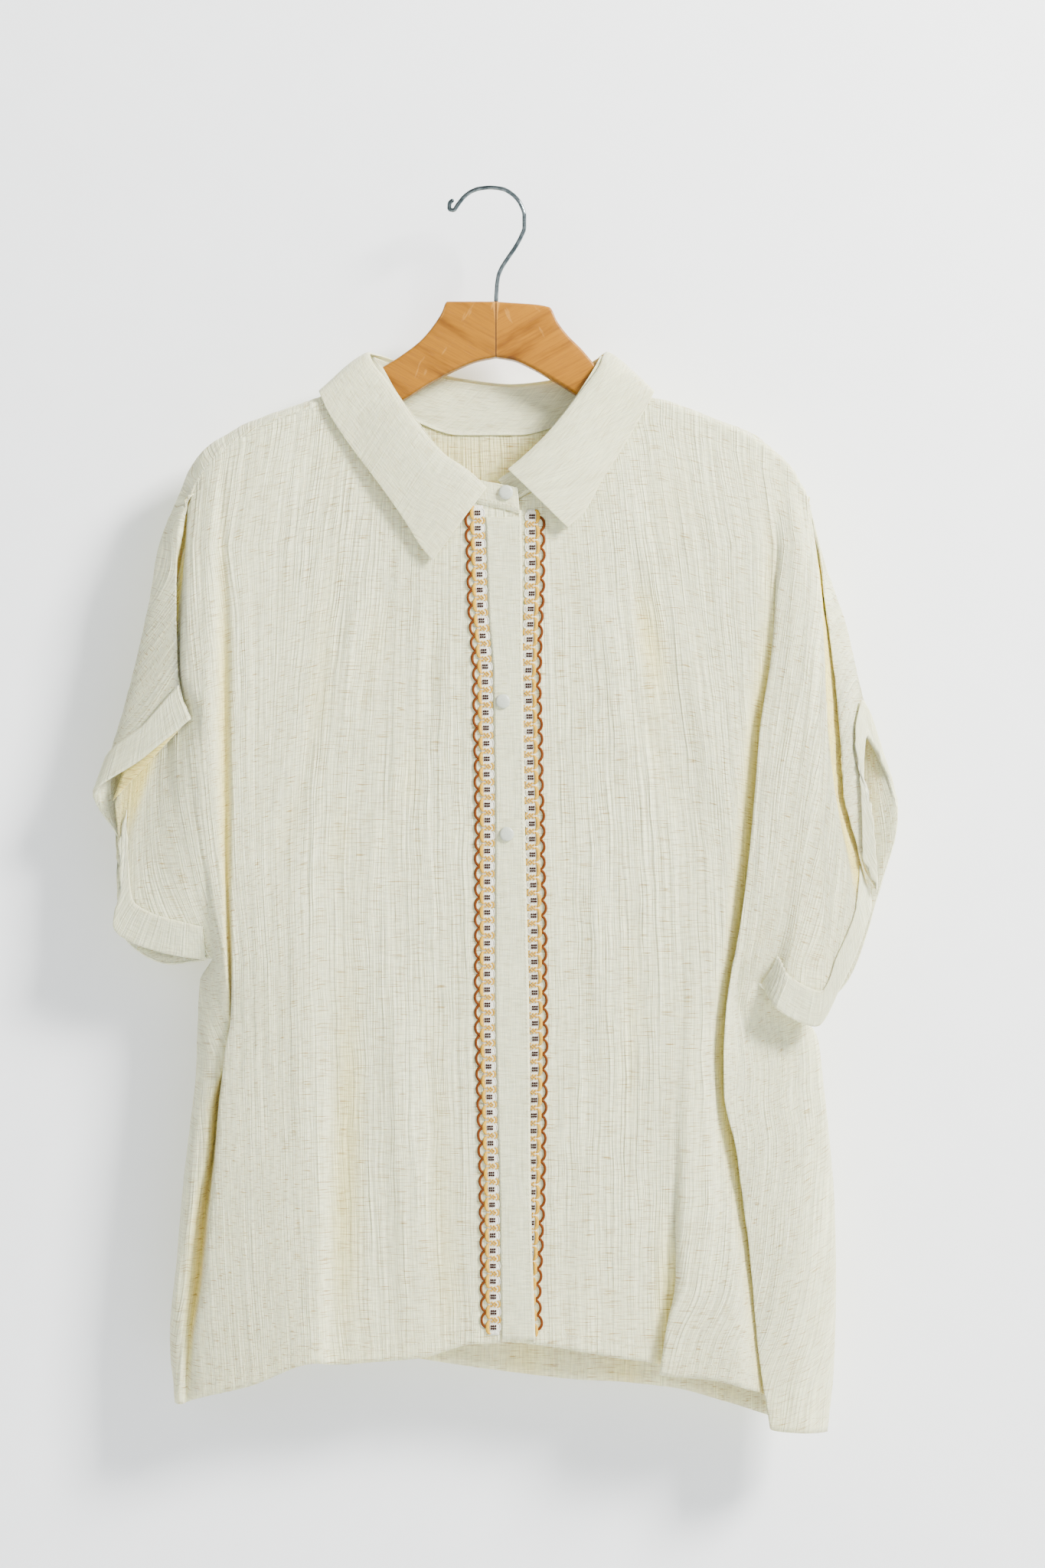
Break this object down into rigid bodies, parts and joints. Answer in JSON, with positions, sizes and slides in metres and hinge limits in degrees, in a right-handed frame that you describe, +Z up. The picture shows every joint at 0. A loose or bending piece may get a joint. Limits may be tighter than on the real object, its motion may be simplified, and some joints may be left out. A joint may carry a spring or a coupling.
{
  "type": "short-sleeved shirt on a wooden hanger",
  "caption": "Loose button-front shirt with pointed collar, turned-up cuffs and looped trims beside the placket, open at neck, cuffs and hem, hanging on a flat wooden hanger with a wire hook.",
  "frame": {"origin": "the point of the hook's inner top that rests on a rail", "axes": "+X to the right of someone facing the shirt's front, +Y away from them (the front faces -Y), +Z up"},
  "size_m": [0.5859, 0.0547, 0.9051],
  "materials": {
    "linen": "matt cream crinkled linen gauze",
    "trim_yarn": "woven yellow and brown trim",
    "button_shell": "pale shell-like gloss",
    "label_satin": "white satin",
    "hanger_wood": "honey varnished wood",
    "hook_chrome": "polished"
  },
  "bodies": {
    "root": {"front_right": "linen", "front_left": "linen", "back": "linen", "button_band": "linen", "collar": "linen", "collar_stand": "linen", "cuff_right_front": "linen", "cuff_right_back": "linen", "cuff_left_front": "linen", "cuff_left_back": "linen", "trim_right": "trim_yarn", "trim_left": "trim_yarn", "button_collar": "button_shell", "button_2": "button_shell", "button_3": "button_shell", "button_4": "button_shell", "button_5": "button_shell", "button_6": "button_shell", "care_label": "label_satin", "hanger_right": "hanger_wood", "hanger_left": "hanger_wood", "hanger_hook": "hook_chrome"}
  },
  "joints": []
}
